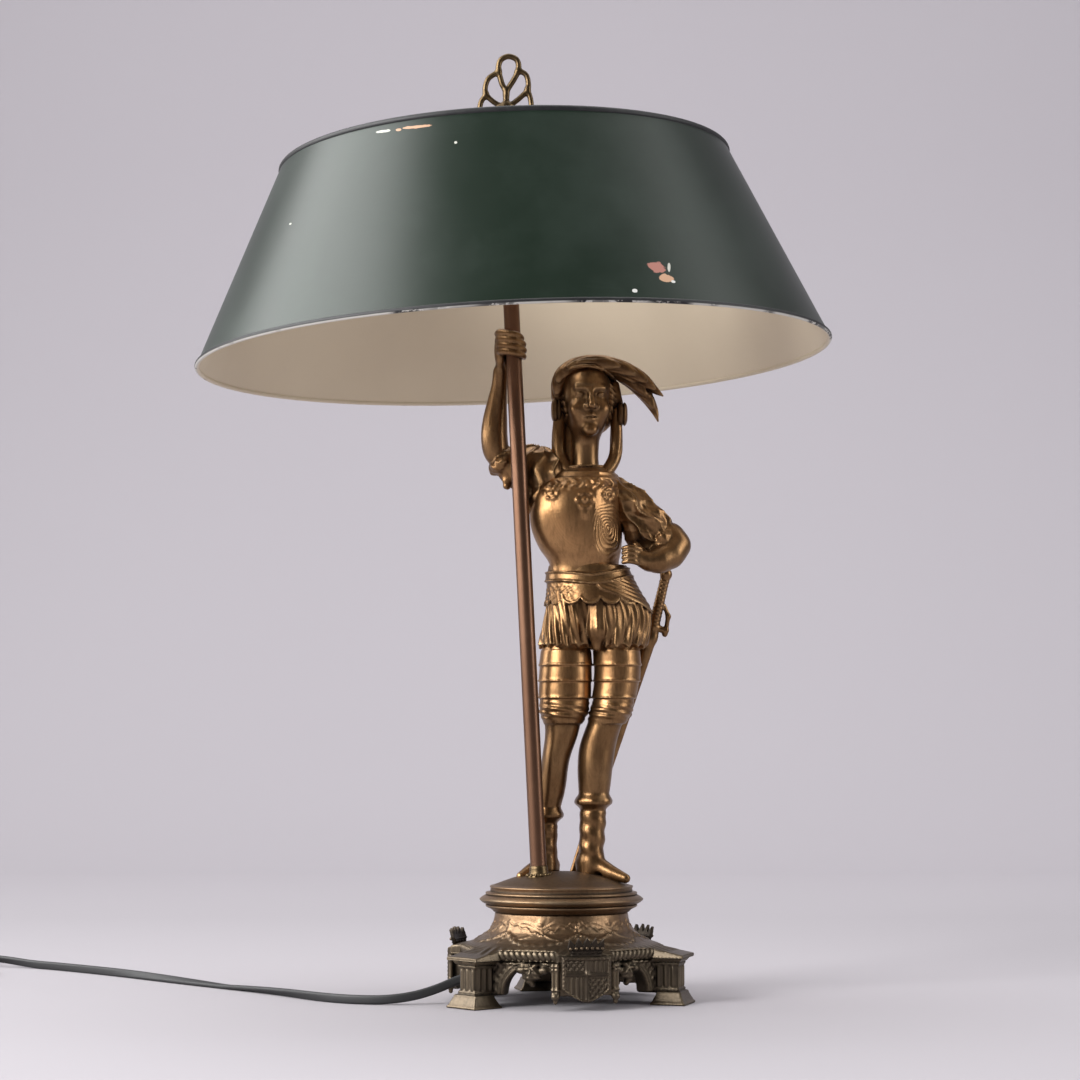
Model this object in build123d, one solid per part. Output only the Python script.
from build123d import *
import os
from math import acos, atan2, cos, pi, radians, sin, sqrt, tan

# Table lamp: a cast halberdier figure on a tripod plinth grips a leaning pole that carries a metal shade.
# Millimetres. The origin lies on the table straight below the centre of the shade's lower rim.
# The front of the lamp looks along -Y, +X is the viewer's right and +Z is up.

# Stance of the pole
RIM_HEIGHT = 397.7        # centre of the shade's lower rim above the table
LEAN = 2.8                # lean of the pole and the shade to the left, degrees
BASE_X = 29.6             # axis of the base, right of the origin
BASE_Y = 14.0             # and behind it

# Fits
SHAFT_GAP = 0.05          # running gap round a shaft
FACE_GAP = 0.3            # gap between faces of pieces that turn on each other
PAST = 10.0               # how far a cutter reaches past what it cuts

# Tripod plinth, radii from the base's axis
HEX_RADIUS = 66.0         # corners of the hexagonal apron
APRON_BOTTOM = 8.0
APRON_TOP = 28.0          # underside of the roof's eaves
HOLLOW_RADIUS = 51.0
EAVE_OVERHANG = 2.5
CASTING_WALL = 3.5
FOOT_RADIUS = 71.0        # centre of each foot
FOOT_BLOCK = (24.5, 20.0, 9.5)      # width, depth, height
PILASTER = (20.0, 15.0)             # width, depth
FOOT_CAP = (25.0, 20.0)             # width, depth under the eaves
FLUTES = 4
FLUTE_D = 2.6
ARCH_WIDTH = 36.0
ARCH_TOP = 25.0
PENDANT_DROP = 11.0
PENDANT_D = 5.5
ROOF_EDGE = 81.0
ROOF_EDGE_TOP = 30.5
ROOF_MID = (60.0, 35.0)             # radius, height
ROOF_UPPER = (49.0, 40.0)
NECK_RADIUS = 41.5
NECK_HEIGHT = 49.0
NECK_LIP = 44.5
PLINTH_TOP = 54.5

# Shields and their coronets
SHIELD_ANGLES = {"front": 12.0, "rear": 132.0, "left": -108.0}
SHIELD_WIDTH = 30.0
SHIELD_TOP = 32.0
SHIELD_POINT = 5.0
SHIELD_SHOULDER = 14.0    # height where the sides start to draw in to the point
SHIELD_BULGE = 0.62       # where the lower sides pass, of their width and height
SHIELD_BACK = 67.0        # radius of the flat that the shield hangs on
SHIELD_THICKNESS = 3.2
SHIELD_FRAME = 2.0
FRAME_RELIEF = 0.9
COLONNETTE_D = 3.4
COLONNETTE_OUT = 17.6     # each side of the shield's middle
CORONET_WIDTH = 22.0
CORONET_HEIGHT = 13.0
CORONET_THICKNESS = 4.0
CORONET_POINTS = 5
CORONET_LEAN = 8.0

# Round top of the base
LIP_RADIUS = 46.0
TORUS_RADIUS = 47.5
TORUS_HEIGHT = 61.5
TORUS_D = 6.4
STEP_RADIUS = 45.0
STEP_HEIGHT = 68.5
DOME_TOP = 79.2

# Pole and its clamp, lengths along the pole
POLE_D = 10.0
POLE_BORE = 7.6
POLE_BELOW_PLATE = 7.6
POLE_TOP = 58.0           # above the rim's plane
WASHER_D = 22.0
WASHER_THICKNESS = 1.6
NUT_WIDTH = 17.0
NUT_HEIGHT = 5.0
BOSS_D = 24.0
BOSS_DROP = 2.0
COLLAR_D = 14.0
COLLAR_HEIGHT = 7.0
COLLAR_BEAD = 2.2

# Lamp cluster, heights above the rim's plane along the pole
CLUSTER_BOTTOM = 48.0
CLUSTER_TOP = 92.0
CLUSTER_RADIUS = 14.0
SOCKET_HEIGHT = 72.0      # axis of the lampholders
NIPPLE_D = 10.0
NIPPLE_REACH = 21.0       # outer end of each nipple from the pole's axis
HOLDER_START = 15.0
HOLDER_LENGTH = 46.0
HOLDER_D = 25.0
HOLDER_NECK_D = 18.0
SCREW_BORE = 14.4         # thread of the lampholder
BULB_CAP_D = 13.6
BULB_CAP_LENGTH = 25.0
BULB_START = 38.0         # contact end of the cap from the pole's axis
BULB_LENGTH = 78.0
BULB_D = 45.0
BULB_NECK_D = 15.0

# Shade, spider and finial
SHADE_LOWER_RADIUS = 197.0
SHADE_UPPER_RADIUS = 140.0
SHADE_HEIGHT = 123.5
SHADE_WALL = 0.9
UPPER_RIM_D = 4.2
LOWER_RIM_D = 3.0
RIM_SEAT = 0.2            # how far a rim's middle sits in from the sheet's edge, of its diameter
POST_D = 10.0
LOCKNUT_HEIGHT = 5.0
HUB_D = 22.0
HUB_HEIGHT = 7.0
HUB_BELOW_RIM = 2.0       # top of the hub below the shade's upper edge
SPIDER_ARMS = 3
SPIDER_ROD_D = 5.0
FINIAL_ROOT = 160.5       # where the palmette springs, above the rim's plane
FINIAL_TOP = 194.5
FINIAL_FORK = 10.0        # the middle loop starts this far above the root
FINIAL_LOOP_WIDTH = 13.0
FINIAL_BEND = 2.8         # the palmette stands to the right of its stem
FINIAL_SIDE_D = 2.6
FINIAL_SIDE = [(2.0, -1.0), (8.6, 5.2), (12.4, 9.8), (13.2, 14.4), (11.4, 19.6), (7.0, 23.8)]
FINIAL_LOWER_D = 2.3
FINIAL_LOWER = [(0.0, -10.0), (11.0, -7.5), (15.6, -2.0), (15.4, 5.0), (12.4, 10.0)]
FINIAL_ROD_D = 2.8
FINIAL_STEM_D = 8.0
FINIAL_KNOB_D = 8.4
FINIAL_STALK_D = 3.8
FINIAL_FOOT_D = 18.0
POST_TOP = 140.0

# Mains cord
CORD_D = 5.6
INNER_FLEX_D = 5.6
FLEX_CORNER_HEIGHT = 28.0 # the inner flex turns up into the pole here
FLEX_BEND = 13.0
GRIP_ANGLE = -78.0        # arch that the cord leaves by
GRIP_ASIDE = 8.0          # the cord passes beside the arch's pendant
GRIP_RADIUS = 44.0
GRIP_HEIGHT = 19.3
GRIP_SLOPE = 12.0         # degrees down
GRIP_LENGTH = 22.0
GRIP_FLANGE_D = 13.0
GRIP_FLANGE = 2.0
GRIP_TIP_D = 8.0
LUG_WIDTH = 16.0
LUG_THICKNESS = 5.0
SWITCH_LENGTH = 60.0
SWITCH_WIDTH = 26.0
SWITCH_SPLIT = 9.0
SWITCH_HEIGHT = 17.0
SWITCH_WALL = 2.0
SWITCH_CORNER = 9.0
ROCKER_LENGTH = 19.0
ROCKER_WIDTH = 11.0
ROCKER_PIN_D = 3.0
ROCKER_TIP = 8.0          # tilt each way, degrees
COIL_HALF_TURNS = 13
COIL_INNER_RADIUS = 18.6
COIL_PITCH = 6.4          # one turn to the next
COIL_LIFT = 1.3           # the tie passes under the turns
COIL_LEAD_IN = 24.0       # from the switch to the first turn
COIL_LEAD_OUT = 52.0      # from the last turn to the plug
TIE_WIDTH = 6.0
TIE_THICKNESS = 0.9
TIE_ANGLE = 180.0
PLUG_LENGTH = 36.0
PLUG_WIDTH = 26.0
PLUG_HEIGHT = 13.5
PLUG_STATIONS = [(0, 10, 9), (10, 14, 11), (22, 22, PLUG_HEIGHT - 1), (PLUG_LENGTH, PLUG_WIDTH, PLUG_HEIGHT)]
PLUG_CORNER = 4.0
PIN_D = 4.0
PIN_LENGTH = 19.0
PIN_ROOT = 8.0            # length of a pin inside the plug
PIN_SPACING = 18.0

# The cord's route from its grip to the switch
CORD_ROUTE = [
    (-33.8, -7.6, 14.5), (-46.0, -11.5, 9.2), (-61.0, -14.8, 5.0), (-78.0, -15.6, 3.0), (-96.0, -11.0, 2.8),
    (-110.0, -2.0, 2.8), (-124.0, 12.0, 2.8), (-145.0, 40.0, 2.8), (-177.0, 77.0, 2.8), (-221.0, 123.0, 2.8),
    (-271.0, 178.0, 2.8), (-321.0, 227.0, 2.8), (-343.0, 244.0, 2.9), (-359.0, 255.0, 4.5), (-375.0, 260.5, 6.0),
    (-387.0, 260.5, 6.0),
]
SWITCH_ENTRY = 6.0        # height of the cord where it enters the switch

nodes = {}


def on_base(angle=0.0):
    """A place on the base's axis, turned so that its -Y side looks to the given angle."""
    return Location((BASE_X, BASE_Y, 0), (0, 0, angle))


on_pole = Location((0, 0, RIM_HEIGHT), (0, -LEAN, 0))


def pole_point(height):
    """The pole's axis at a height above the table."""
    return Vector((RIM_HEIGHT - height) * tan(radians(LEAN)), 0, height)


def along_pole(height):
    """Distance along the pole from the rim's plane to a height above the table."""
    return (height - RIM_HEIGHT) / cos(radians(LEAN))


def point_at(place, point):
    """Where a point of a local frame lies."""
    return (place * Location(point)).position


def box_between(low, high):
    size = [high[i] - low[i] for i in range(3)]
    middle = [(high[i] + low[i]) / 2 for i in range(3)]
    return Pos(*middle) * Box(*size)


def rod(diameter, bottom, top):
    return Pos(0, 0, (bottom + top) / 2) * Cylinder(diameter / 2, top - bottom)


def turned(points):
    """A solid turned about Z from an outline of radius and height that closes on the axis."""
    line = Polyline(*[(r, 0, z) for r, z in points], close=True)
    return revolve(make_face(line), Axis.Z)


def hex_prism(radius, bottom, top):
    outline = RegularPolygon(radius, 6, rotation=SHIELD_ANGLES["front"] - 90)
    return extrude(Pos(0, 0, bottom) * outline, top - bottom)


# Tripod plinth
FOOT_ANGLES = [angle + 180 for angle in SHIELD_ANGLES.values()]
ARCH_ANGLES = [SHIELD_ANGLES["front"] + 30 + 60 * k for k in range(6)]
APOTHEM = HEX_RADIUS * cos(radians(30))


def at_angle(angle, solid):
    return Rot(0, 0, angle) * solid


def outward_box(inner, outer, width, bottom, top):
    """A box that reaches from one radius to another on the -Y side."""
    return box_between((-width / 2, -outer, bottom), (width / 2, -inner, top))


def roof_solid():
    with BuildSketch(Plane.XZ) as section:
        with BuildLine():
            Line((0, APRON_TOP), (ROOF_EDGE, APRON_TOP))
            Line((ROOF_EDGE, APRON_TOP), (ROOF_EDGE, ROOF_EDGE_TOP))
            Line((ROOF_EDGE, ROOF_EDGE_TOP), ROOF_MID)
            Line(ROOF_MID, ROOF_UPPER)
            ThreePointArc(ROOF_UPPER, (NECK_RADIUS + 1.6, NECK_HEIGHT - 3.2), (NECK_RADIUS, NECK_HEIGHT))
            Line((NECK_RADIUS, NECK_HEIGHT), (NECK_LIP, PLINTH_TOP))
            Line((NECK_LIP, PLINTH_TOP), (0, PLINTH_TOP))
            Line((0, PLINTH_TOP), (0, APRON_TOP))
        make_face()
    whole = revolve(section.sketch, Axis.Z)
    plan = hex_prism(HEX_RADIUS + EAVE_OVERHANG, APRON_TOP - 1, PLINTH_TOP + 1)
    for angle in FOOT_ANGLES:
        cap = outward_box(0, FOOT_RADIUS + FOOT_CAP[1] / 2, FOOT_CAP[0], APRON_TOP - 1, PLINTH_TOP + 1)
        plan += at_angle(angle, cap)
    for angle in SHIELD_ANGLES.values():
        cap = outward_box(0, SHIELD_BACK, SHIELD_WIDTH + 4, APRON_TOP - 1, PLINTH_TOP + 1)
        plan += at_angle(angle, cap)
    roof = whole & plan
    for angle in SHIELD_ANGLES.values():
        beyond = outward_box(SHIELD_BACK, ROOF_EDGE, SHIELD_WIDTH + 8, APRON_TOP - 1, PLINTH_TOP)
        roof -= at_angle(angle, beyond)
    return roof


def foot():
    """One foot: block, fluted pilaster and cap, built on the -Y side."""
    width, depth, height = FOOT_BLOCK
    block = box_between((-width / 2, -FOOT_RADIUS - depth / 2, 0), (width / 2, -FOOT_RADIUS + depth / 2, height))
    block = chamfer(block.faces().sort_by(Axis.Z)[-1].edges(), 2.2)
    pilaster = box_between(
        (-PILASTER[0] / 2, -FOOT_RADIUS - PILASTER[1] / 2, height),
        (PILASTER[0] / 2, -HOLLOW_RADIUS, APRON_TOP),
    )
    pitch = PILASTER[0] / FLUTES
    for k in range(FLUTES):
        x = (k - (FLUTES - 1) / 2) * pitch
        groove = rod(FLUTE_D, height + 2.5, APRON_TOP - 4.5)
        pilaster -= Pos(x, -FOOT_RADIUS - PILASTER[1] / 2, 0) * groove
    cap_low = APRON_TOP - 2.5
    cap = box_between(
        (-FOOT_CAP[0] / 2 + 1.2, -FOOT_RADIUS - FOOT_CAP[1] / 2 + 1.2, cap_low),
        (FOOT_CAP[0] / 2 - 1.2, -HOLLOW_RADIUS, APRON_TOP),
    )
    return block + pilaster + cap


def arch_cutter():
    outline = Pos(0, APRON_BOTTOM) * Ellipse(ARCH_WIDTH / 2, ARCH_TOP - APRON_BOTTOM)
    outline += Pos(0, APRON_BOTTOM / 2 - 1) * Rectangle(ARCH_WIDTH, APRON_BOTTOM + 2)
    return Pos(0, -HOLLOW_RADIUS + 8, 0) * extrude(Plane.XZ * outline, HEX_RADIUS)


def pendant():
    """Leaf drop with a ball, hanging from an arch's crown."""
    r = PENDANT_D / 2
    low = ARCH_TOP - PENDANT_DROP
    outline = [
        (0, low), (r * 0.45, low + 1.2), (r * 0.35, low + 2.6), (r, low + 6),
        (r, ARCH_TOP + 2), (0, ARCH_TOP + 2),
    ]
    return Pos(0, -APOTHEM + 1.0, 0) * turned(outline)


def colonnette():
    """Slim column with a drop under it, beside a shield."""
    r = COLONNETTE_D / 2
    low = SHIELD_POINT
    outline = [
        (0, low), (r, low + 2), (r * 0.6, low + 3.4), (r * 1.35, low + 4.4), (r, low + 6),
        (r, APRON_TOP), (0, APRON_TOP),
    ]
    return turned(outline)


def plinth_solid():
    body = roof_solid()
    apron = hex_prism(HEX_RADIUS, APRON_BOTTOM, APRON_TOP)
    for angle in SHIELD_ANGLES.values():
        pier = outward_box(HOLLOW_RADIUS - 4, SHIELD_BACK, SHIELD_WIDTH + 2, APRON_BOTTOM + 1, APRON_TOP)
        apron += at_angle(angle, pier)
    for angle in ARCH_ANGLES:
        apron -= at_angle(angle, arch_cutter())
    body += apron
    inner = [
        (0, -1), (HOLLOW_RADIUS, -1), (HOLLOW_RADIUS, ROOF_MID[1] - CASTING_WALL - 1),
        (ROOF_UPPER[0] - CASTING_WALL, ROOF_UPPER[1] - CASTING_WALL),
        (NECK_RADIUS - CASTING_WALL, NECK_HEIGHT - CASTING_WALL),
        (NECK_RADIUS - CASTING_WALL, PLINTH_TOP - CASTING_WALL), (0, PLINTH_TOP - CASTING_WALL),
    ]
    body -= turned(inner)
    for angle in FOOT_ANGLES:
        body += at_angle(angle, foot())
    for angle in ARCH_ANGLES:
        body += at_angle(angle, pendant())
    for angle in SHIELD_ANGLES.values():
        for side in (-1, 1):
            body += at_angle(angle, Pos(side * COLONNETTE_OUT, -SHIELD_BACK + 1.0, 0) * colonnette())
    return on_base() * body


pole_outside = on_pole * rod(POLE_D, along_pole(PLINTH_TOP) - 60, POLE_TOP)

plate_bottom = along_pole(PLINTH_TOP - CASTING_WALL)
boss_bottom = plate_bottom - BOSS_DROP
grip_place = on_base(GRIP_ANGLE) * Location((GRIP_ASIDE, -GRIP_RADIUS, GRIP_HEIGHT), (GRIP_SLOPE, 0, 0))


def grip_rod(diameter, start, end):
    """A cylinder on the cord's line through the lug, measured outwards from the lug's outer face."""
    return grip_place * (Rot(90, 0, 0) * rod(diameter, start, end))


plinth = plinth_solid()
boss_top = plate_bottom + CASTING_WALL / 2
plinth += on_pole * rod(BOSS_D, boss_bottom, boss_top)
plinth -= pole_outside
lug = outward_box(-LUG_THICKNESS, 0, LUG_WIDTH, -10, 18)
lug_zone = on_base() * rod(2 * (HOLLOW_RADIUS + 1), 10, ROOF_UPPER[1] - 2)
plinth += (grip_place * lug) & lug_zone
plinth -= grip_rod(GRIP_TIP_D, -LUG_THICKNESS - 20, 20)
nodes["base_plinth"] = plinth


# Shields and coronets
def shield_outline(inset):
    w = SHIELD_WIDTH / 2 - inset
    top = SHIELD_TOP - inset
    point = SHIELD_POINT + inset * 1.2
    bulge = SHIELD_SHOULDER - (SHIELD_SHOULDER - point) * SHIELD_BULGE
    with BuildSketch() as sketch:
        with BuildLine():
            Polyline((-w, SHIELD_SHOULDER), (-w, top), (w, top), (w, SHIELD_SHOULDER))
            ThreePointArc((w, SHIELD_SHOULDER), (w * SHIELD_BULGE, bulge), (0, point))
            ThreePointArc((0, point), (-w * SHIELD_BULGE, bulge), (-w, SHIELD_SHOULDER))
        make_face()
    return sketch.sketch


def shield_solid():
    """Heater shield with a raised frame, a plain cross and four bosses."""
    plate = extrude(shield_outline(0), SHIELD_THICKNESS)
    frame = extrude(shield_outline(0) - shield_outline(SHIELD_FRAME), SHIELD_THICKNESS + FRAME_RELIEF)
    middle = (SHIELD_TOP + SHIELD_SHOULDER) / 2 - 1
    upright = Pos(0, (SHIELD_TOP + SHIELD_POINT) / 2) * Rectangle(SHIELD_FRAME, SHIELD_TOP - SHIELD_POINT - 4)
    across = Pos(0, middle) * Rectangle(SHIELD_WIDTH - 2, SHIELD_FRAME)
    cross = extrude(upright + across, SHIELD_THICKNESS + FRAME_RELIEF / 2)
    return Pos(0, -SHIELD_BACK, 0) * Rot(90, 0, 0) * (plate + frame + cross)


def coronet_solid():
    """Band with five leaf points, standing on the eaves above a shield."""
    half = CORONET_WIDTH / 2
    band = CORONET_HEIGHT * 0.38
    step = CORONET_WIDTH / CORONET_POINTS
    outline = [(-half * 0.8, 0), (half * 0.8, 0), (half * 0.92, band)]
    for k in range(CORONET_POINTS):
        right = half - k * step
        peak = CORONET_HEIGHT - abs(k - (CORONET_POINTS - 1) / 2) * 0.9
        outline += [(right, peak - 1.5), (right - step * 0.3, peak - 1.2), (right - step * 0.72, band + 1.2)]
    outline[-1] = (-half * 0.92, band)
    face = make_face(Polyline(*outline, close=True))
    plate = extrude(face, CORONET_THICKNESS)
    beads = [Pos(x, band * 0.5, CORONET_THICKNESS) * Sphere(1.3) for x in (-6, -2, 2, 6)]
    for bead in beads:
        plate += bead
    return plate


for name, angle in SHIELD_ANGLES.items():
    nodes["shield_" + name] = on_base(angle) * shield_solid()
    coronet_foot = Location((0, -SHIELD_BACK + 1.5, SHIELD_TOP), (90 - CORONET_LEAN, 0, 0))
    nodes["coronet_" + name] = on_base(angle) * coronet_foot * coronet_solid() - plinth - nodes["shield_" + name]


# Round top of the base
def dome_middle(edge_radius, edge_height, crown):
    """Middle point of an arc that is level over the axis and falls to an edge."""
    sag = crown - edge_height
    sphere = (edge_radius ** 2 + sag ** 2) / (2 * sag)
    half_angle = atan2(edge_radius, sphere - sag) / 2
    return (sphere * sin(half_angle), crown - sphere * (1 - cos(half_angle)))


def base_top_solid(hollow):
    inner_top = DOME_TOP - CASTING_WALL
    wall = LIP_RADIUS - CASTING_WALL - 2 if hollow else 0
    with BuildSketch(Plane.XZ) as section:
        with BuildLine():
            Line((wall, PLINTH_TOP), (LIP_RADIUS, PLINTH_TOP))
            Line((LIP_RADIUS, PLINTH_TOP), (LIP_RADIUS, PLINTH_TOP + 2))
            Line((LIP_RADIUS, PLINTH_TOP + 2), (TORUS_RADIUS, TORUS_HEIGHT - TORUS_D / 2))
            ThreePointArc(
                (TORUS_RADIUS, TORUS_HEIGHT - TORUS_D / 2), (TORUS_RADIUS + TORUS_D / 2, TORUS_HEIGHT),
                (TORUS_RADIUS, TORUS_HEIGHT + TORUS_D / 2),
            )
            Line((TORUS_RADIUS, TORUS_HEIGHT + TORUS_D / 2), (STEP_RADIUS, TORUS_HEIGHT + TORUS_D / 2 + 0.6))
            Line((STEP_RADIUS, TORUS_HEIGHT + TORUS_D / 2 + 0.6), (STEP_RADIUS, STEP_HEIGHT))
            Line((STEP_RADIUS, STEP_HEIGHT), (STEP_RADIUS - 3, STEP_HEIGHT + 1.6))
            edge = (STEP_RADIUS - 3, STEP_HEIGHT + 1.6)
            ThreePointArc(edge, dome_middle(*edge, DOME_TOP), (0, DOME_TOP))
            if hollow:
                Line((0, DOME_TOP), (0, inner_top))
                edge = (wall, STEP_HEIGHT - CASTING_WALL)
                ThreePointArc((0, inner_top), dome_middle(*edge, inner_top), edge)
                Line(edge, (wall, PLINTH_TOP))
            else:
                Line((0, DOME_TOP), (0, PLINTH_TOP))
        make_face()
    return on_base() * revolve(section.sketch, Axis.Z)


base_top = base_top_solid(hollow=True) - pole_outside
nodes["base_top"] = base_top
base_top_filled = base_top_solid(hollow=False)

# Pole, clamp and collar
pole_bottom = boss_bottom - POLE_BELOW_PLATE
pole = rod(POLE_D, pole_bottom, POLE_TOP) - rod(POLE_BORE, pole_bottom - 1, POLE_TOP + 1)
nodes["pole_tube"] = on_pole * pole
washer = rod(WASHER_D, boss_bottom - WASHER_THICKNESS, boss_bottom) - rod(POLE_D, boss_bottom - 9, boss_bottom + 1)
nodes["pole_washer"] = on_pole * washer
nut_top = boss_bottom - WASHER_THICKNESS
nut = Pos(0, 0, nut_top - NUT_HEIGHT) * extrude(RegularPolygon(NUT_WIDTH / 2, 6, major_radius=False), NUT_HEIGHT)
nodes["pole_nut"] = on_pole * (nut - rod(POLE_D, nut_top - 9, nut_top + 1))

collar_low = along_pole(DOME_TOP) - 4
collar_high = along_pole(DOME_TOP) + COLLAR_HEIGHT - 3
collar_outline = [
    (POLE_D / 2, collar_low), (COLLAR_D / 2, collar_low), (COLLAR_D / 2, collar_high - 4.5),
    (COLLAR_D / 2 + COLLAR_BEAD / 2, collar_high - 3.5), (COLLAR_D / 2, collar_high - 2.2),
    (POLE_D / 2 + 0.8, collar_high), (POLE_D / 2, collar_high),
]
nodes["pole_collar"] = on_pole * turned(collar_outline) - base_top_filled

# Figure, in a frame on the base's axis at the top of the dome; x, y, z, width and depth of each section
FIGURE = Location((BASE_X, BASE_Y, DOME_TOP))
TORSO_TURN = 25.0         # the breastplate's ridge looks this far to the right, degrees
TORSO_RIDGE = 1.6

HOSE_RIGHT = [(8.0, 2.0, 172, 44, 42), (5.5, 2.0, 160, 42, 44), (4.6, 2.0, 147, 40, 43), (4.4, 2.0, 136.5, 38, 41)]
HOSE_LEFT = [(31.0, 2.0, 172, 44, 42), (34.0, 2.0, 160, 43, 44), (34.8, 2.0, 147, 40, 43), (34.6, 2.0, 136.5, 35, 41)]
SKIRT = [(18.6, 2.0, 167.0, 66, 48), (17.8, 2.0, 180.5, 56, 42)]
SKIRT_LOBES = 12
SKIRT_LOBE_D = 13.0
BELT = [(17.4, 2.0, 179.5, 57, 43), (17.0, 2.0, 184.0, 56, 42.5), (16.6, 2.0, 188.5, 54, 41)]
SASH = [(0.0, -19.5, 184), (16, -21.8, 181), (32, -18.5, 178), (45, -6, 173), (47.5, 6, 171)]
SASH_WIDTH = (9.0, 5.0)
CUIRASS = [(16.5, 2.0, 186, 50, 37), (14.0, 2.0, 198, 51, 40), (11.5, 2.0, 211, 59.5, 44), (10.8, 2.0, 225, 62.5, 46),
           (12.5, 2.5, 239, 59.5, 42), (15.5, 3.0, 248, 41, 30)]
GORGET = [(16.0, 2.5, 245, 37, 32), (16.0, 2.5, 249.5, 34, 29), (16.0, 2.0, 252, 27, 25)]
NECK = [(15.2, 2.5, 246, 19, 19), (15.3, 1.0, 262, 17, 18), (15.5, 0.0, 276, 18, 20)]
HEAD = [(15.6, -6.5, 270.5, 9, 8), (15.6, -4.5, 274.5, 19, 22), (15.6, -2.5, 283, 27, 33), (15.6, -1.0, 293, 31, 38),
        (15.6, 0.0, 304, 32, 40), (15.6, 1.0, 312, 27, 34), (15.6, 1.5, 317, 14, 18)]
NOSE = [(15.6, -22.2, 287.5, 6.6, 6.0), (15.6, -22.5, 291.5, 5.0, 6.0), (15.6, -20.5, 297, 3.0, 3.0)]
CAP = [(15.6, 1.5, 299, 38, 44), (15.6, 1.5, 307, 40, 46), (15.8, 2.0, 314, 35, 42), (16.0, 2.0, 320.4, 17, 22)]
CAP_FRONT = -12.0         # the cap's front edge, open over the face
EAR_D = 14.0
EAR_THICKNESS = 7.0
EAR_X = (-2.8, 37.6)
EAR_HEIGHT = 290.0
LAPPET_RIGHT = [(-1.0, 0.5, 288, 8, 6), (-2.2, 0.0, 270, 8.5, 6), (-1.0, -1.0, 256, 8.5, 6), (4.0, -3.0, 248, 9, 6)]
LAPPET_LEFT = [(35.0, 0.5, 288, 7, 6), (34.8, 0.0, 270, 7.5, 6), (34.0, -1.0, 257, 7.5, 6), (29.5, -3.0, 248.5, 8, 6)]
PLUME_UPPER = [(-2.0, 0.0, 304, 7, 8), (2.0, -3.0, 315, 9, 12), (12, -4.0, 321.5, 8, 15), (28, -3.5, 321, 9, 16),
               (44, -3.0, 314, 9, 13), (56, -2.5, 304, 6, 9), (62, -2.0, 295, 1.6, 3)]
PLUME_LOWER = [(34, 1.0, 314, 7, 9), (46, 2.0, 306, 8.5, 12), (54, 2.5, 295, 7, 9), (59.5, 3.0, 278, 1.6, 3)]
SLEEVE_RIGHT = [(10, 4.0, 236, 25, 24), (-2, 4.0, 245, 29, 27), (-14, 4.5, 252, 27, 25), (-26, 4.5, 255, 25, 23),
                (-36, 4.5, 258, 21, 20)]
FOREARM_RIGHT_ELBOW = (-44.5, 2.0, 262.0)
SLEEVE_LEFT = [(33, 3.0, 240, 22, 22), (45, 4.0, 236, 25, 25), (56, 5.5, 226, 27, 25), (67, 7.0, 213, 25, 24)]
ELBOW_LEFT = (71.0, 6.5, 207.0)
ELBOW_D = 21.0
FOREARM_LEFT = [(74, 5.5, 202.5, 17, 17), (66, -1.0, 195, 15, 16), (57, -6.5, 190.5, 11, 12), (50, -10.5, 191.5, 8, 14),
                (37, -12.0, 195, 5, 12)]
RIGHT_THIGH = [(3.0, 1.5, 143, 33, 33), (2.6, 1.0, 121, 31.5, 32), (2.0, 0.5, 104, 30, 30), (1.4, 0.5, 91, 26, 27)]
RIGHT_CALF = [(1.4, 0.5, 94, 24, 25), (-1.0, 1.5, 84, 21, 23), (-3.8, 3.0, 69, 19, 24), (-6.0, 5.0, 50, 17, 20),
              (-8.5, 7.0, 33, 15.5, 17), (-9.0, 7.0, 20, 14, 16), (-8.3, 8.0, -4, 13, 20)]
RIGHT_FOOT = [(-3.5, 12.5, 1.0, 12, 11), (-10, 8.0, 3.5, 15, 13), (-17, 1.5, 0.5, 11, 12), (-22.5, -3.5, -2, 8, 11),
              (-26, -6.5, -3, 4, 6)]
LEFT_THIGH = [(34.2, 2.0, 143, 29, 33), (34.4, 1.5, 121, 28, 31), (32.6, 1.0, 106, 26, 29), (29.0, 1.0, 91, 23, 26)]
LEFT_CALF = [(28.5, 1.0, 94, 23, 26), (24.5, 2.0, 84, 23, 25), (21.8, 3.5, 68, 23, 26), (20.9, 3.5, 52, 21, 22),
             (19.6, 3.0, 40, 18, 18), (19.0, 2.5, 24, 16.5, 17), (17.6, 3.5, -4, 15, 19)]
LEFT_FOOT = [(11.5, 6.0, 1.0, 11, 11), (19, 1.5, 4.5, 16, 14), (28, -4.5, 1.0, 12, 13), (36, -9.5, -2.5, 9, 13),
             (42, -13, -5, 4, 7)]
LAME_HEIGHTS = (137.0, 126.0, 115.5, 105.5)
LAME_RELIEF = 1.3
KNEE_CLOTH_RELIEF = 2.2
KNEE_CLOTH = (92.5, 104.5)
BOOT_CUFF_LEFT = (39.5, 48.0)
BOOT_CUFF_RIGHT = (29.0, 37.0)
BOOT_CUFF_RELIEF = 2.6
BOOT_SCREW_D = 4.0
BOOT_SCREW_HEAD_D = 9.0
BOOT_SCREW_DEPTH = 9.0    # underside of the screw's head below the dome's top
BOOT_SCREW_REACH = 6.0    # into the boot
HILT_TOP = (66.5, 16.5, 185.5)
GUARD = (58.5, 18.5, 152.0)
SCABBARD_TIP = (6.5, 30.0, -6.0)
POMMEL_D = 8.0
GRIP_D = 6.0
GUARD_LENGTH = 20.0
QUILLON_D = 6.0
SCABBARD_MOUTH = (9.0, 6.0)
SCABBARD_END = (5.0, 4.0)
HAND_LOW = 312.0          # height of the gripping hand above the dome's top
FINGER_D = 6.6
FINGER_PITCH = 6.0
FINGERS = 4
FINGER_START = 120.0      # where the fingers leave the palm, round the pole
FINGER_SWEEP = 190.0


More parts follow.
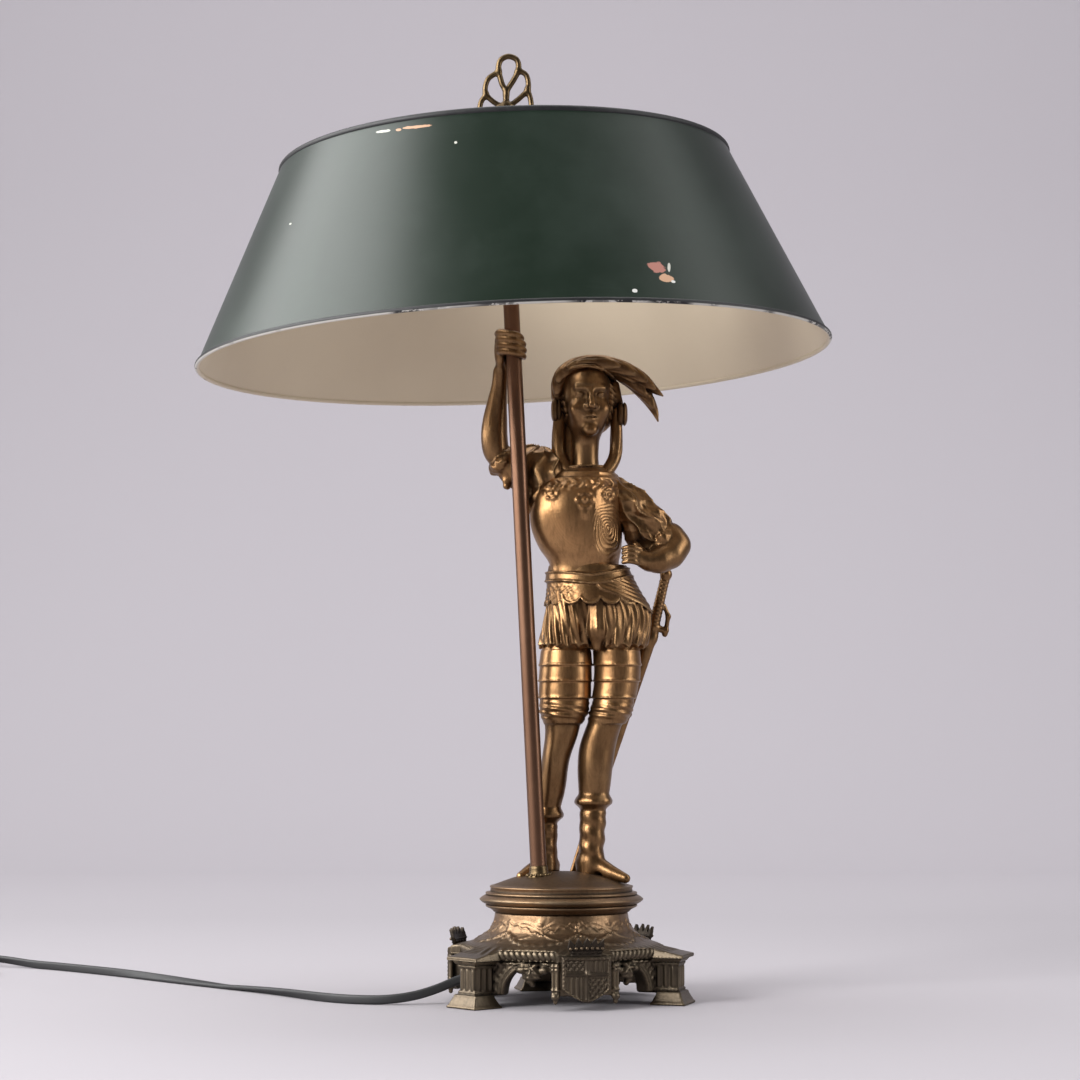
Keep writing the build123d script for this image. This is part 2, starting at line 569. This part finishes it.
def largest(shape):
    """The main solid of a shape, without the slivers that a cut leaves."""
    return max(shape.solids(), key=lambda solid: solid.volume)


def square_planes(stations):
    """A plane at each station, square to the run of its neighbours."""
    points = [Vector(*s[:3]) for s in stations]
    planes = []
    for i, point in enumerate(points):
        ahead = points[min(i + 1, len(points) - 1)] - points[max(i - 1, 0)]
        across = Vector(0, 1, 0).cross(ahead)
        planes.append(Plane(origin=point, x_dir=across, z_dir=ahead))
    return planes


def limb(stations):
    """A smooth casting through oval sections square to its run."""
    sections = []
    for plane, station in zip(square_planes(stations), stations):
        sections.append(plane * Ellipse(station[3] / 2, station[4] / 2))
    return loft(sections)


def level_rings(stations, turn=0.0, grow=0.0):
    """A casting through level oval sections."""
    sections = []
    for x, y, z, width, depth in stations:
        sections.append(Pos(x, y, z) * Rot(0, 0, turn) * Ellipse(width / 2 + grow, depth / 2 + grow))
    return loft(sections)


def ridged_rings(stations, turn, ridge):
    """A casting through level sections whose front is drawn to a ridge."""
    sections = []
    for x, y, z, width, depth in stations:
        w, d = width / 2, depth / 2
        with BuildSketch() as sketch:
            with BuildLine():
                ThreePointArc((-w, 0), (-w * 0.68, -d * 0.74), (0, -d - ridge))
                ThreePointArc((0, -d - ridge), (w * 0.68, -d * 0.74), (w, 0))
                ThreePointArc((w, 0), (w * 0.71, d * 0.71), (0, d))
                ThreePointArc((0, d), (-w * 0.71, d * 0.71), (-w, 0))
            make_face()
        sections.append(Pos(x, y, z) * Rot(0, 0, turn) * sketch.sketch)
    return loft(sections)


def section_at(stations, height):
    """Centre and size of a level casting at a height, between its stations."""
    for low, high in zip(stations[1:], stations[:-1]):
        if low[2] <= height <= high[2]:
            share = (height - low[2]) / (high[2] - low[2])
            return [low[i] + share * (high[i] - low[i]) for i in range(5)]
    return list(stations[0])


def band_round(stations, low, high, relief):
    """A rounded band that stands proud of a leg between two heights."""
    rows = []
    for height, grow in ((low, -0.6), ((low + high) / 2, relief), (high, -0.6)):
        x, y, z, width, depth = section_at(stations, height)
        rows.append((x, y, z, width + 2 * grow, depth + 2 * grow))
    return level_rings(rows)


def leg_solid(thigh, calf, foot_stations, cuff):
    """Thigh lames, knee cloth, calf, boot cuff and foot in one casting."""
    body = level_rings(thigh) + level_rings(calf)
    for high, low in zip(LAME_HEIGHTS[:-1], LAME_HEIGHTS[1:]):
        upper = section_at(thigh, high)
        lower = section_at(thigh, low)
        upper[3:] = [size + 0.6 * LAME_RELIEF for size in upper[3:]]
        lower[3:] = [size + 2 * LAME_RELIEF for size in lower[3:]]
        body += level_rings([lower, upper])
    body += band_round(thigh, *KNEE_CLOTH, KNEE_CLOTH_RELIEF)
    body += band_round(calf, *cuff, BOOT_CUFF_RELIEF)
    return body + limb(foot_stations)


def skirt_solid():
    """Flared band with a scalloped lower edge."""
    shell = level_rings(SKIRT)
    x, y, low = SKIRT[0][:3]
    reach = SKIRT[0][3]
    lobe_height = low + SKIRT_LOBE_D / 2
    stencil = Pos(x, y, 0) * rod(2 * reach, lobe_height, SKIRT[1][2] + PAST)
    lobe = Pos(0, 0, lobe_height) * Rot(90, 0, 0) * rod(SKIRT_LOBE_D, 0, reach)
    for k in range(SKIRT_LOBES):
        stencil += Pos(x, y, 0) * Rot(0, 0, 360 * k / SKIRT_LOBES) * lobe
    return shell & stencil


def sash_solid():
    height, thickness = SASH_WIDTH
    rows = [(x, y, z, height, thickness) for x, y, z in SASH]
    return limb(rows)


hips = level_rings(HOSE_RIGHT) + level_rings(HOSE_LEFT)
hips += skirt_solid()
hips += level_rings(BELT)
hips += sash_solid()
hips = FIGURE * hips
nodes["figure_hips"] = hips

torso = FIGURE * (ridged_rings(CUIRASS, TORSO_TURN, TORSO_RIDGE) + level_rings(GORGET)) - hips
nodes["figure_torso"] = torso

right_leg = FIGURE * leg_solid(RIGHT_THIGH, RIGHT_CALF, RIGHT_FOOT, BOOT_CUFF_RIGHT) - hips - base_top_filled
left_leg = FIGURE * leg_solid(LEFT_THIGH, LEFT_CALF, LEFT_FOOT, BOOT_CUFF_LEFT) - hips - base_top_filled - right_leg
right_leg -= pole_outside
nodes["figure_right_leg"] = right_leg
nodes["figure_left_leg"] = left_leg

head = FIGURE * (limb(NECK) + level_rings(HEAD) + level_rings(NOSE)) - torso
nodes["figure_head"] = head


def cap_solid():
    """Skull cap open over the face, with an ear piece on each side."""
    shell = level_rings(CAP)
    shell -= box_between((-20, -60, CAP[0][2] - 1), (50, CAP_FRONT, CAP[1][2] + 3))
    for x in EAR_X:
        ear = Rot(0, 90, 0) * Cylinder(EAR_D / 2, EAR_THICKNESS)
        shell += Pos(x, CAP[0][1] - 1, EAR_HEIGHT) * fillet(ear.edges(), 1.6)
        strap_x = x + (EAR_THICKNESS / 2 if x < CAP[0][0] else -EAR_THICKNESS / 2)
        strap = Pos(strap_x, CAP[0][1], (EAR_HEIGHT + CAP[0][2]) / 2 + 2) * Box(5, 9, CAP[0][2] - EAR_HEIGHT + 10)
        shell += strap
    return shell


cap = FIGURE * cap_solid() - head
nodes["figure_cap"] = cap
nodes["figure_plume"] = FIGURE * (limb(PLUME_UPPER) + limb(PLUME_LOWER)) - cap - head


def right_arm_solid():
    """Puffed sleeve, bare forearm and a fist closed round the pole."""
    sleeve = limb(SLEEVE_RIGHT)
    grip = pole_point(DOME_TOP + HAND_LOW + FINGERS * FINGER_D / 2) - Vector(*FIGURE.position)
    wrist = grip + Vector(-8.0, 5.0, -FINGERS * FINGER_D / 2 - 3)
    elbow = Vector(*FOREARM_RIGHT_ELBOW)
    middle = elbow + (wrist - elbow) * 0.5
    forearm = limb([
        (elbow.X + 13, elbow.Y + 2.5, elbow.Z - 6, 14, 15), (elbow.X + 1, elbow.Y, elbow.Z - 3, 18, 18),
        (middle.X - 4, middle.Y, middle.Z, 17, 17), (wrist.X, wrist.Y, wrist.Z, 11.5, 11),
        (grip.X - 7.5, grip.Y + 4.0, grip.Z - 2, 9, 15), (grip.X - 8.0, grip.Y + 3.5, grip.Z + 12, 6, 12),
    ])
    fist = forearm
    ring_radius = POLE_D / 2 + FINGER_D / 2 - 1.2
    knuckle = Pos(ring_radius, 0, 0) * Rot(90, 0, 0) * Circle(FINGER_D / 2)
    finger = Rot(0, 0, FINGER_START) * revolve(knuckle, Axis.Z, FINGER_SWEEP)
    for k in range(FINGERS):
        height = along_pole(DOME_TOP + HAND_LOW) + (k + 0.5) * FINGER_PITCH
        fist += Location(-Vector(*FIGURE.position)) * on_pole * Pos(0, 0, height) * finger
    return sleeve + fist


right_arm = FIGURE * right_arm_solid() - torso - head - pole_outside
nodes["figure_right_arm"] = right_arm
elbow = Pos(*ELBOW_LEFT) * Sphere(ELBOW_D / 2)
left_arm = largest(FIGURE * (limb(SLEEVE_LEFT) + elbow + limb(FOREARM_LEFT)) - torso - hips)
nodes["figure_left_arm"] = left_arm
lappets = FIGURE * Compound(children=[limb(LAPPET_RIGHT), limb(LAPPET_LEFT)])
nodes["figure_lappets"] = [piece - cap - head - torso - right_arm - left_arm for piece in lappets.solids()]


# Sword
def tapered(start, end, start_size, end_size):
    """A straight oval piece from one point to another."""
    return limb([(*start, *start_size), (*end, *end_size)])


def hilt_solid():
    top, guard = Vector(*HILT_TOP), Vector(*GUARD)
    line = (top - guard).normalized()
    grip = tapered(tuple(guard), tuple(top), (GRIP_D * 1.15, GRIP_D * 1.15), (GRIP_D * 0.8, GRIP_D * 0.8))
    pommel = Pos(*top) * Sphere(POMMEL_D / 2)
    side = Vector(0, 1, 0).cross(line).normalized()
    left, right = guard - side * GUARD_LENGTH / 2, guard + side * GUARD_LENGTH / 2
    quillon = limb([(*left, 3.5, 3.5), (*guard, QUILLON_D, QUILLON_D), (*right, 3.5, 3.5)])
    return grip + pommel + quillon


hilt = FIGURE * hilt_solid() - hips - left_arm
nodes["sword_hilt"] = hilt
blade_line = (Vector(*SCABBARD_TIP) - Vector(*GUARD)).normalized()
mouth = Vector(*GUARD) + blade_line * (QUILLON_D / 2 + FACE_GAP / 2)
scabbard = FIGURE * tapered(tuple(mouth), SCABBARD_TIP, SCABBARD_MOUTH, SCABBARD_END)
nodes["sword_scabbard"] = scabbard - base_top_filled

# Screws that hold the boots to the dome
screws = []
for foot_stations in (RIGHT_FOOT, LEFT_FOOT):
    x, y = foot_stations[1][:2]
    screw_place = Location((BASE_X + x, BASE_Y + y, 0))
    shank = rod(BOOT_SCREW_D, DOME_TOP - BOOT_SCREW_DEPTH + 1, DOME_TOP + BOOT_SCREW_REACH)
    head_disc = rod(BOOT_SCREW_HEAD_D, DOME_TOP - BOOT_SCREW_DEPTH, DOME_TOP - CASTING_WALL)
    screws.append(screw_place * shank + (screw_place * head_disc - base_top))
nodes["figure_screws"] = screws
for name in ("base_top", "figure_right_leg", "figure_left_leg"):
    for screw in screws:
        nodes[name] -= screw


# Lamp cluster, lampholders and bulbs
def across_pole(solid, side):
    """Turns a solid built along Z to lie along the pole frame's X axis at the lampholders' height."""
    return on_pole * Pos(0, 0, SOCKET_HEIGHT) * Rot(0, 90 * side, 0) * solid


cluster_outline = [
    (0, CLUSTER_BOTTOM), (POLE_D / 2 + 2.5, CLUSTER_BOTTOM), (POLE_D / 2 + 4, CLUSTER_BOTTOM + 5),
    (CLUSTER_RADIUS, CLUSTER_BOTTOM + 12), (CLUSTER_RADIUS, CLUSTER_TOP - 12),
    (POLE_D / 2 + 4, CLUSTER_TOP - 4), (POLE_D / 2 + 4, CLUSTER_TOP), (0, CLUSTER_TOP),
]
cluster = turned(cluster_outline) - rod(POLE_D, CLUSTER_BOTTOM - 1, POLE_TOP)
cluster -= rod(2 * CLUSTER_RADIUS - 8, POLE_TOP, CLUSTER_TOP - 13)
cluster -= rod(POST_D, CLUSTER_TOP - 14, CLUSTER_TOP + 1)
cluster = on_pole * cluster
nipple_start = CLUSTER_RADIUS - 6
for side, word in ((-1, "left"), (1, "right")):
    nipple_blank = rod(NIPPLE_D, nipple_start, NIPPLE_REACH)
    cluster -= across_pole(nipple_blank, side)
    bore = rod(POLE_BORE, nipple_start - 1, NIPPLE_REACH + 1)
    nodes["nipple_" + word] = across_pole(nipple_blank - bore, side)
    neck_end = HOLDER_START + 12
    end = HOLDER_START + HOLDER_LENGTH
    outline = [
        (0, HOLDER_START), (HOLDER_NECK_D / 2, HOLDER_START), (HOLDER_NECK_D / 2, neck_end - 4),
        (HOLDER_D / 2, neck_end), (HOLDER_D / 2, end - 2), (HOLDER_D / 2 - 1, end), (0, end),
    ]
    holder = turned(outline) - rod(NIPPLE_D, HOLDER_START - 1, NIPPLE_REACH)
    holder -= rod(SCREW_BORE, BULB_START - FACE_GAP, end + 1)
    holder -= rod(POLE_BORE, NIPPLE_REACH - 1, BULB_START - 4)
    nodes["lampholder_" + word] = across_pole(holder, side) - on_pole * turned(cluster_outline)
    cap_end = BULB_START + BULB_CAP_LENGTH
    cap_outline = [
        (0, BULB_START), (4.0, BULB_START), (BULB_CAP_D / 2, BULB_START + 4), (BULB_CAP_D / 2, cap_end), (0, cap_end),
    ]
    nodes["bulb_cap_" + word] = across_pole(turned(cap_outline), side)
    tip = BULB_START + BULB_LENGTH
    globe = tip - BULB_D / 2
    shoulder = sqrt((BULB_D / 2) ** 2 - (BULB_NECK_D / 2 + 3) ** 2)
    with BuildSketch(Plane.XZ) as glass:
        with BuildLine():
            Line((0, cap_end), (BULB_NECK_D / 2, cap_end))
            Line((BULB_NECK_D / 2, cap_end), (BULB_NECK_D / 2 + 3, globe - shoulder))
            ThreePointArc((BULB_NECK_D / 2 + 3, globe - shoulder), (BULB_D / 2, globe), (0, tip))
            Line((0, tip), (0, cap_end))
        make_face()
    nodes["bulb_glass_" + word] = across_pole(revolve(glass.sketch, Axis.Z), side)
nodes["cluster_body"] = cluster

# Shade post and locknut
post_bottom = CLUSTER_TOP - 12
hub_top = SHADE_HEIGHT - HUB_BELOW_RIM
hub_bottom = hub_top - HUB_HEIGHT
nodes["shade_post"] = on_pole * rod(POST_D, post_bottom, POST_TOP)
locknut_top = hub_bottom - FACE_GAP
locknut = Pos(0, 0, locknut_top - LOCKNUT_HEIGHT) * extrude(
    RegularPolygon(NUT_WIDTH / 2, 6, major_radius=False), LOCKNUT_HEIGHT
)
nodes["spider_locknut"] = on_pole * (locknut - rod(POST_D, locknut_top - 20, locknut_top + 1))

# Shade with its rolled rims and spider
slope = (SHADE_LOWER_RADIUS - SHADE_UPPER_RADIUS) / SHADE_HEIGHT
wall = SHADE_WALL * sqrt(1 + slope ** 2)
cone_outline = [
    (SHADE_LOWER_RADIUS - wall, 0), (SHADE_LOWER_RADIUS, 0),
    (SHADE_UPPER_RADIUS, SHADE_HEIGHT), (SHADE_UPPER_RADIUS - wall, SHADE_HEIGHT),
]
cone = turned(cone_outline)


def rolled_rim(radius, height, diameter):
    """A rolled bead with a slot for the sheet's edge, turned in one go."""
    bead = Pos(radius, height) * Circle(diameter / 2)
    return revolve(Plane.XZ * (bead - Polygon(*cone_outline, align=None)), Axis.Z)


upper_rim_radius = SHADE_UPPER_RADIUS - wall / 2
upper_rim_height = SHADE_HEIGHT - UPPER_RIM_D * RIM_SEAT
upper_rim = rolled_rim(upper_rim_radius, upper_rim_height, UPPER_RIM_D)
lower_rim = rolled_rim(SHADE_LOWER_RADIUS - wall / 2, LOWER_RIM_D * RIM_SEAT, LOWER_RIM_D)
nodes["shade_cone"] = on_pole * cone
nodes["shade_upper_rim"] = on_pole * upper_rim
nodes["shade_lower_rim"] = on_pole * lower_rim
hub = rod(HUB_D, hub_bottom, hub_top)
arm_height = (hub_bottom + hub_top) / 2
arm_rod = rod(SPIDER_ROD_D, 0, SHADE_UPPER_RADIUS + PAST)
for k in range(SPIDER_ARMS):
    arm_angle = 90 + 360 * k / SPIDER_ARMS
    hub += Rot(0, 0, arm_angle) * Pos(0, 0, arm_height) * Rot(0, 90, 0) * arm_rod
hub -= rod(POST_D + 2 * SHAFT_GAP, hub_bottom - PAST, hub_top + PAST)
outside = turned([
    (SHADE_LOWER_RADIUS - wall, 0), (SHADE_LOWER_RADIUS + PAST, 0), (SHADE_LOWER_RADIUS + PAST, SHADE_HEIGHT + PAST),
    (SHADE_UPPER_RADIUS - wall - PAST * slope, SHADE_HEIGHT + PAST), (SHADE_UPPER_RADIUS - wall, SHADE_HEIGHT),
])
rim_room = Pos(0, 0, upper_rim_height) * Torus(upper_rim_radius, UPPER_RIM_D / 2)
nodes["shade_spider"] = on_pole * (hub - outside - rim_room)


# Finial: a palmette of looped rods on a turned stem
def loop_rod(root, tip, width):
    """A teardrop loop of round rod, from its root up round its tip and back."""
    root, tip = Vector(*root), Vector(*tip)
    length = (tip - root).length
    radius = width / 2
    frame = Plane(origin=(root.X, 0, root.Y), x_dir=(tip.Y - root.Y, 0, -(tip.X - root.X)), z_dir=(0, -1, 0))
    centre = length - radius
    reach = acos(radius / centre)
    left = (-radius * sin(reach), centre - radius * cos(reach))
    arch = frame * ThreePointArc(left, (0, length), (-left[0], left[1]))
    loop = sweep(Plane(origin=arch @ 0, z_dir=arch % 0) * Circle(FINIAL_ROD_D / 2), path=arch)
    for end in (arch @ 0, arch @ 1):
        side = Line((root.X, 0, root.Y), end)
        loop += sweep(Plane(origin=side @ 0, z_dir=side % 0) * Circle(FINIAL_ROD_D / 2), path=side)
    return loop


def bent_rod(points, diameter):
    """A round rod along a smooth line in the palmette's plane."""
    path = Spline(*[(x, 0, z) for x, z in points])
    return sweep(Plane(origin=path @ 0, z_dir=path % 0) * Circle(diameter / 2), path=path)


finial_foot = hub_top + FACE_GAP
stem = turned([
    (0, finial_foot), (FINIAL_FOOT_D / 2, finial_foot), (FINIAL_FOOT_D / 2, finial_foot + 3),
    (POST_D / 2 + 2, finial_foot + 7), (POST_D / 2 + 2, POST_TOP + 2), (FINIAL_STEM_D / 2 - 1.4, POST_TOP + 8),
    (FINIAL_STEM_D / 2 - 1.6, FINIAL_ROOT - 3), (FINIAL_STEM_D / 2 - 0.4, FINIAL_ROOT), (0, FINIAL_ROOT + 1),
])
stem -= rod(POST_D + 2 * SHAFT_GAP, finial_foot - 1, POST_TOP + FACE_GAP)
fork = FINIAL_ROOT + FINIAL_FORK
finial = stem + Pos(FINIAL_BEND, 0, FINIAL_ROOT) * Sphere(FINIAL_KNOB_D / 2)
finial += Pos(FINIAL_BEND, 0, 0) * rod(FINIAL_STALK_D, FINIAL_ROOT, fork + 1)
finial += loop_rod((FINIAL_BEND, fork), (FINIAL_BEND, FINIAL_TOP - FINIAL_ROD_D / 2), FINIAL_LOOP_WIDTH)
for side in (-1, 1):
    finial += bent_rod([(FINIAL_BEND + side * x, FINIAL_ROOT + z) for x, z in FINIAL_SIDE], FINIAL_SIDE_D)
lower_run = [(-x, z) for x, z in reversed(FINIAL_LOWER)] + FINIAL_LOWER[1:]
finial += bent_rod([(FINIAL_BEND + x, FINIAL_ROOT + z) for x, z in lower_run], FINIAL_LOWER_D)
nodes["finial"] = on_pole * finial

# Cord grip, and the inner flex from it up the pole into the cluster
grip_back = -LUG_THICKNESS - GRIP_FLANGE
grip_nose = GRIP_LENGTH + grip_back
grip_outline = [
    (0, grip_back), (GRIP_FLANGE_D / 2, grip_back), (GRIP_FLANGE_D / 2, -LUG_THICKNESS),
    (GRIP_TIP_D / 2, -LUG_THICKNESS), (GRIP_TIP_D / 2, 0), (GRIP_TIP_D / 2 + 0.5, 0.6),
    (CORD_D / 2 + 0.6, grip_nose), (0, grip_nose),
]
grip = turned(grip_outline) - rod(CORD_D, grip_back - PAST, GRIP_LENGTH)
nodes["cord_grip"] = grip_place * (Rot(90, 0, 0) * grip)
grip_out = point_at(grip_place, (0, -grip_nose, 0))
grip_in = point_at(grip_place, (0, -grip_back, 0))


def open_radii(points):
    """The largest arc at each corner that its two runs leave room for."""
    radii = []
    for a, b, c in zip(points, points[1:], points[2:]):
        turn = radians((b - a).get_angle(c - b))
        radii.append(0.45 * min((b - a).length, (c - b).length) / tan(turn / 2))
    return radii


def tube(points, diameter, radii=None):
    """A round cord along straight runs joined by arcs."""
    points = [Vector(*p) for p in points]
    radii = radii or open_radii(points)
    path = FilletPolyline(*points, radius=radii)
    section = Plane(origin=points[0], z_dir=points[1] - points[0]) * Circle(diameter / 2)
    solid = sweep(section, path=path)
    expected = pi * diameter ** 2 / 4 * path.length
    print("cord tube", round(path.length, 1), "mm, volume ratio", round(solid.volume / expected, 4))
    print("  arc radii", [round(r) for r in radii])
    return solid


cluster_room = point_at(on_pole, (0, 0, SOCKET_HEIGHT - 8))
flex_corner = pole_point(FLEX_CORNER_HEIGHT)
flex_points = [grip_in, grip_in + (grip_in - grip_out).normalized() * 5, flex_corner, cluster_room]
flex = tube(flex_points, INNER_FLEX_D, [30, FLEX_BEND])
nodes["inner_flex"] = flex
nodes["cord_run"] = tube([tuple(grip_out)] + CORD_ROUTE, CORD_D)

# Switch on the cord: two shells and a rocker on a pin
entry = Vector(*CORD_ROUTE[-1])
switch_place = Location((entry.X, entry.Y, 0))
far_x = -SWITCH_LENGTH


def switch_block(low, high, inset):
    length, width = SWITCH_LENGTH - 2 * inset, SWITCH_WIDTH - 2 * inset
    plan = Pos(far_x / 2, 0) * RectangleRounded(length, width, SWITCH_CORNER - inset)
    return extrude(Pos(0, 0, low) * plan, high - low)


lower = switch_block(0, SWITCH_SPLIT, 0)
lower = fillet(lower.faces().sort_by(Axis.Z)[0].edges(), 1.2)
lower -= switch_block(SWITCH_WALL, SWITCH_SPLIT + 1, SWITCH_WALL)
cord_hole = Pos(far_x / 2, 0, SWITCH_ENTRY) * Rot(0, 90, 0) * Cylinder(CORD_D / 2, SWITCH_LENGTH + 4)
lower -= cord_hole
upper = switch_block(SWITCH_SPLIT, SWITCH_HEIGHT, 0)
upper = fillet(upper.faces().sort_by(Axis.Z)[-1].edges(), 3.0)
upper -= switch_block(SWITCH_SPLIT - 1, SWITCH_HEIGHT - SWITCH_WALL, SWITCH_WALL)
window = Pos(far_x / 2, 0, SWITCH_HEIGHT) * Box(ROCKER_LENGTH + 1.0, ROCKER_WIDTH + 2 * FACE_GAP, 9)
upper -= window
pin_height = SWITCH_HEIGHT - 3.2
for side in (-1, 1):
    ear = Pos(far_x / 2, side * (ROCKER_WIDTH / 2 + FACE_GAP + 1.2), pin_height) * Box(6, 2.4, 5)
    upper += ear & switch_block(SWITCH_SPLIT, SWITCH_HEIGHT - 0.5, 0.5)
pin_length = ROCKER_WIDTH + 2 * FACE_GAP + 4
pin_bore = Pos(far_x / 2, 0, pin_height) * Rot(90, 0, 0) * Cylinder(ROCKER_PIN_D / 2 + SHAFT_GAP, pin_length + 1)
upper -= pin_bore
rocker_top = SWITCH_HEIGHT + 2.6
with BuildSketch(Plane.XZ) as rocker_side:
    with BuildLine():
        half = ROCKER_LENGTH / 2 - 0.6
        Polyline((-half, rocker_top), (-half, pin_height - 1.4), (half, pin_height - 1.4), (half, rocker_top))
        ThreePointArc((half, rocker_top), (0, SWITCH_HEIGHT + 0.6), (-half, rocker_top))
    make_face()
rocker = Pos(far_x / 2, ROCKER_WIDTH / 2, 0) * extrude(rocker_side.sketch, ROCKER_WIDTH)
rocker += Pos(far_x / 2, 0, pin_height) * Rot(90, 0, 0) * Cylinder(ROCKER_PIN_D / 2, pin_length)
nodes["switch_lower_shell"] = switch_place * lower
nodes["switch_upper_shell"] = switch_place * upper
pin_place = Pos(far_x / 2, 0, pin_height)
tipped = pin_place * Rot(0, ROCKER_TIP, 0) * pin_place.inverse()
nodes["switch_rocker"] = switch_place * tipped * rocker

# Coil of the put-away length: in, up a layer and out again, then on to the plug
layer_low = CORD_D / 2 + COIL_LIFT
layer_high = layer_low + COIL_PITCH
coil_outer = COIL_INNER_RADIUS + COIL_PITCH * COIL_HALF_TURNS / 4
coil_start = Vector(entry.X - SWITCH_LENGTH - COIL_LEAD_IN, entry.Y, layer_low)
coil_centre = coil_start - Vector(0, coil_outer, 0)


def coil_node(k):
    """Point and heading of the coil after k half turns from its start."""
    from_middle = k - COIL_HALF_TURNS / 2
    angle = pi / 2 + pi * k
    radius = COIL_INNER_RADIUS + COIL_PITCH * abs(from_middle) / 2
    rate = COIL_PITCH / (2 * pi) * (1 if from_middle > 0 else -1)
    z = layer_low if from_middle < 0 else layer_high
    point = Vector(coil_centre.X + radius * cos(angle), coil_centre.Y + radius * sin(angle), z)
    heading = Vector(rate * cos(angle) - radius * sin(angle), rate * sin(angle) + radius * cos(angle), 0)
    if k in (0, COIL_HALF_TURNS):
        heading = Vector(-radius * sin(angle), radius * cos(angle), 0)
    return point, heading.normalized()


def biarc(start, start_heading, end, end_heading):
    """Two arcs that join two points with given headings."""
    chord = end - start
    both = start_heading + end_heading
    a = 2 * (1 - start_heading.dot(end_heading))
    b = 2 * chord.dot(both)
    c = -chord.dot(chord)
    reach = (-b + sqrt(b * b - 4 * a * c)) / (2 * a)
    middle = (start + end + (start_heading - end_heading) * reach) / 2
    first = TangentArc(start, middle, tangent=start_heading)
    second = TangentArc(middle, end, tangent=first % 1)
    return [first, second]


switch_out = Vector(entry.X - SWITCH_LENGTH, entry.Y, SWITCH_ENTRY)
lead_in = FilletPolyline(
    switch_out, switch_out + Vector(-8, 0, 0), coil_start + Vector(8, 0, 0), coil_start, radius=[20, 20]
)
coil_edges = list(lead_in.edges())
for k in range(COIL_HALF_TURNS):
    start, start_heading = coil_node(k)
    end, end_heading = coil_node(k + 1)
    coil_edges += biarc(start, start_heading, end, end_heading)
coil_end = coil_node(COIL_HALF_TURNS)[0]
plug_axis = PLUG_HEIGHT / 2
plug_start = Vector(coil_end.X + COIL_LEAD_OUT, coil_end.Y, plug_axis)
lead_out = FilletPolyline(
    coil_end, coil_end + Vector(14, 0, 0), plug_start + Vector(-14, 0, 0), plug_start, radius=[40, 40]
)
coil_edges += list(lead_out.edges())
coil_path = Wire(coil_edges)
coil_section = Plane(origin=switch_out, z_dir=(-1, 0, 0)) * Circle(CORD_D / 2)
coil = sweep(coil_section, path=coil_path)
nodes["cord_coil"] = coil
coil_volume = pi * CORD_D ** 2 / 4 * coil_path.length
print("coil", round(coil_path.length, 1), "mm, volume ratio", round(coil.volume / coil_volume, 4))


def least_gap(path, diameter):
    """Least gap of a tube to itself, measured on points along its path."""
    count = int(path.length / 2)
    points = [path @ (i / count) for i in range(count + 1)]
    skip = int(4 * diameter / 2)
    least = 1e9
    for i in range(len(points)):
        for j in range(i + skip, len(points)):
            least = min(least, (points[i] - points[j]).length)
    return least - diameter


print("coil least gap to itself", round(least_gap(coil_path, CORD_D), 2), "mm")

# Tie round the coil's turns
tie_low = COIL_LIFT - TIE_THICKNESS
bundle_inner = COIL_INNER_RADIUS - CORD_D / 2 - FACE_GAP
bundle_outer = coil_outer + CORD_D / 2 + FACE_GAP
bundle_top = layer_high + CORD_D / 2 + FACE_GAP
bundle_low = COIL_LIFT - FACE_GAP / 2
tie_hole = Pos((bundle_inner + bundle_outer) / 2, (bundle_low + bundle_top) / 2) * RectangleRounded(
    bundle_outer - bundle_inner, bundle_top - bundle_low, 2.0
)
tie_outline = Pos((bundle_inner + bundle_outer) / 2, (bundle_low + bundle_top) / 2) * RectangleRounded(
    bundle_outer - bundle_inner + 2 * TIE_THICKNESS, bundle_top - bundle_low + 2 * TIE_THICKNESS, 2.0 + TIE_THICKNESS
)
tie = extrude(Plane.XZ * (tie_outline - tie_hole), TIE_WIDTH / 2, both=True)
nodes["cord_tie"] = Location((coil_centre.X, coil_centre.Y, 0), (0, 0, TIE_ANGLE)) * tie

# Plug with two round pins
plug_place = Location((plug_start.X, plug_start.Y, plug_axis))
plug_sections = []
for x, width, height in PLUG_STATIONS:
    across = Plane(origin=(x, 0, 0), x_dir=(0, 1, 0), z_dir=(1, 0, 0))
    plug_sections.append(across * RectangleRounded(width, height, PLUG_CORNER))
plug = loft(plug_sections)
pins = []
for side in (-1, 1):
    pin = rod(PIN_D, PLUG_LENGTH - PIN_ROOT, PLUG_LENGTH + PIN_LENGTH)
    pins.append(Pos(0, side * PIN_SPACING / 2, 0) * Rot(0, 90, 0) * pin)
    plug -= pins[-1]
nodes["plug_body"] = plug_place * plug
nodes["plug_pins"] = [plug_place * pin for pin in pins]

# Export
os.makedirs("parts", exist_ok=True)
for name, shape in nodes.items():
    solids = shape if isinstance(shape, list) else [shape]
    pieces = [solid for piece in solids for solid in piece.solids()]
    export_step(pieces[0] if len(pieces) == 1 else Compound(children=pieces), f"parts/{name}.step")
    print(name, len(pieces))
